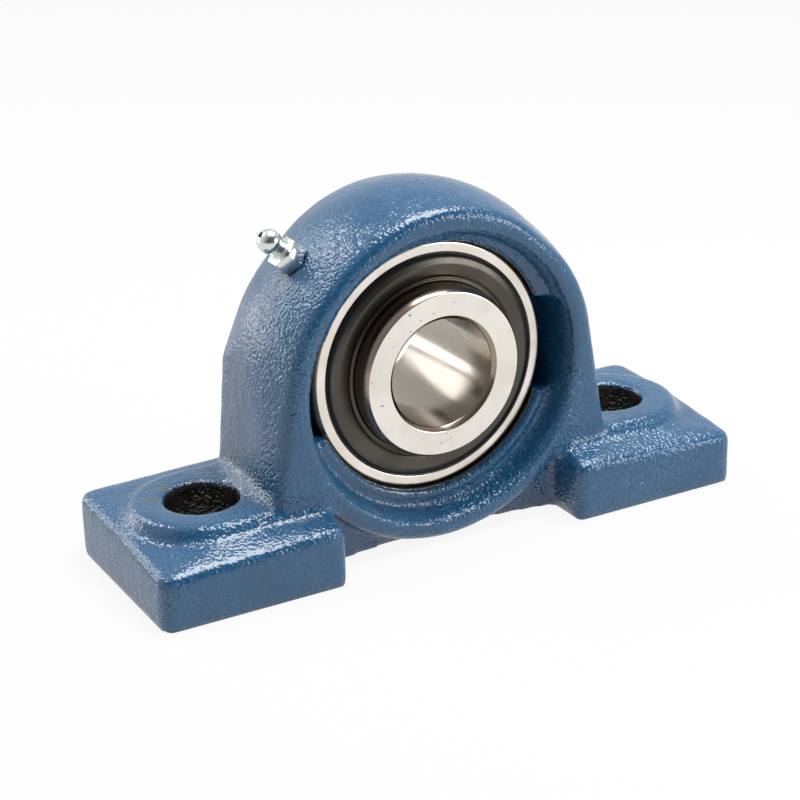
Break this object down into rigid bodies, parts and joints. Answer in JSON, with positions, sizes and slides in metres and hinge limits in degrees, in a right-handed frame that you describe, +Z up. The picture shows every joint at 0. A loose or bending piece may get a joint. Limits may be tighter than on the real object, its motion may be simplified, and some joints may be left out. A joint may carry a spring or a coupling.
{
  "type": "pillow block bearing",
  "caption": "Foot-mounted bearing: a self-aligning ball bearing insert, sealed and flinger-guarded, in a blue cast housing with slotted feet and a grease nipple.",
  "frame": {"origin": "centre of the machined base face", "axes": "+X along the base, +Y along the shaft towards the clamping side, +Z up"},
  "size_m": [0.175, 0.057, 0.0961],
  "materials": {
    "blue_enamel": "medium-blue enamel over sand-cast iron",
    "ground_steel": "ground bearing steel",
    "ball_steel": "polished bearing steel",
    "pressed_steel": "plain pressed steel",
    "seal_rubber": "nitrile rubber",
    "dark_steel": "dark phosphated pressed steel",
    "black_steel": "black oxide",
    "zinc_plate": "bright zinc plate",
    "spring_steel": "drawn wire"
  },
  "bodies": {
    "housing": {"housing": "blue_enamel", "nipple_body": "zinc_plate", "nipple_spring": "spring_steel"},
    "insert": {"outer_ring": "ground_steel", "seal_front": "seal_rubber", "seal_rear": "seal_rubber"},
    "inner": {"inner_ring": "ground_steel", "flinger_front": "dark_steel", "flinger_rear": "dark_steel"},
    "cage": {"cage_front": "pressed_steel", "cage_rear": "pressed_steel", "cage_rivets": "pressed_steel"},
    "ball_1": {"ball_1": "ball_steel"},
    "ball_2": {"ball_2": "ball_steel"},
    "ball_3": {"ball_3": "ball_steel"},
    "ball_4": {"ball_4": "ball_steel"},
    "ball_5": {"ball_5": "ball_steel"},
    "ball_6": {"ball_6": "ball_steel"},
    "ball_7": {"ball_7": "ball_steel"},
    "ball_8": {"ball_8": "ball_steel"},
    "ball_9": {"ball_9": "ball_steel"},
    "set_screw_1": {"set_screw_1": "black_steel"},
    "set_screw_2": {"set_screw_2": "black_steel"},
    "nipple_ball": {"nipple_ball": "ball_steel"}
  },
  "joints": [
    {"name": "insert_align", "type": "hinge", "parent": "housing", "child": "insert", "pos_m": [0, 0, 0.0476], "axis": [0, 0, 1], "range_deg": [-3, 3]},
    {"name": "inner_spin", "type": "hinge", "parent": "insert", "child": "inner", "pos_m": [0, 0, 0.0476], "axis": [0, 1, 0], "continuous": true},
    {"name": "cage_orbit", "type": "hinge", "parent": "insert", "child": "cage", "pos_m": [0, 0, 0.0476], "axis": [0, 1, 0], "continuous": true},
    {"name": "ball_1_spin", "type": "hinge", "parent": "cage", "child": "ball_1", "pos_m": [0.01719, 0, 0.06809], "axis": [0, 1, 0], "continuous": true},
    {"name": "ball_2_spin", "type": "hinge", "parent": "cage", "child": "ball_2", "pos_m": [0.02634, 0, 0.05225], "axis": [0, 1, 0], "continuous": true},
    {"name": "ball_3_spin", "type": "hinge", "parent": "cage", "child": "ball_3", "pos_m": [0.02317, 0, 0.03422], "axis": [0, 1, 0], "continuous": true},
    {"name": "ball_4_spin", "type": "hinge", "parent": "cage", "child": "ball_4", "pos_m": [0.00915, 0, 0.02246], "axis": [0, 1, 0], "continuous": true},
    {"name": "ball_5_spin", "type": "hinge", "parent": "cage", "child": "ball_5", "pos_m": [-0.00915, 0, 0.02246], "axis": [0, 1, 0], "continuous": true},
    {"name": "ball_6_spin", "type": "hinge", "parent": "cage", "child": "ball_6", "pos_m": [-0.02317, 0, 0.03422], "axis": [0, 1, 0], "continuous": true},
    {"name": "ball_7_spin", "type": "hinge", "parent": "cage", "child": "ball_7", "pos_m": [-0.02634, 0, 0.05225], "axis": [0, 1, 0], "continuous": true},
    {"name": "ball_8_spin", "type": "hinge", "parent": "cage", "child": "ball_8", "pos_m": [-0.01719, 0, 0.06809], "axis": [0, 1, 0], "continuous": true},
    {"name": "ball_9_spin", "type": "hinge", "parent": "cage", "child": "ball_9", "pos_m": [0, 0, 0.07435], "axis": [0, 1, 0], "continuous": true},
    {"name": "set_screw_1_travel", "type": "slide", "parent": "inner", "child": "set_screw_1", "axis": [-0.866, 0, 0.5], "range_m": [0, 0.0025]},
    {"name": "set_screw_2_travel", "type": "slide", "parent": "inner", "child": "set_screw_2", "axis": [0.866, 0, 0.5], "range_m": [0, 0.0025]},
    {"name": "nipple_valve", "type": "slide", "parent": "housing", "child": "nipple_ball", "axis": [0.7193, 0, -0.6947], "range_m": [0, 0.001], "stiffness_N_per_m": 300, "springref_m": -0.001, "deforming": ["nipple_spring"]}
  ],
  "couplings": [
    {"joint": "cage_orbit", "follows": "inner_spin", "ratio": 0.39615},
    {"joint": "ball_1_spin", "follows": "inner_spin", "ratio": -2.3035},
    {"joint": "ball_2_spin", "follows": "inner_spin", "ratio": -2.3035},
    {"joint": "ball_3_spin", "follows": "inner_spin", "ratio": -2.3035},
    {"joint": "ball_4_spin", "follows": "inner_spin", "ratio": -2.3035},
    {"joint": "ball_5_spin", "follows": "inner_spin", "ratio": -2.3035},
    {"joint": "ball_6_spin", "follows": "inner_spin", "ratio": -2.3035},
    {"joint": "ball_7_spin", "follows": "inner_spin", "ratio": -2.3035},
    {"joint": "ball_8_spin", "follows": "inner_spin", "ratio": -2.3035},
    {"joint": "ball_9_spin", "follows": "inner_spin", "ratio": -2.3035}
  ]
}
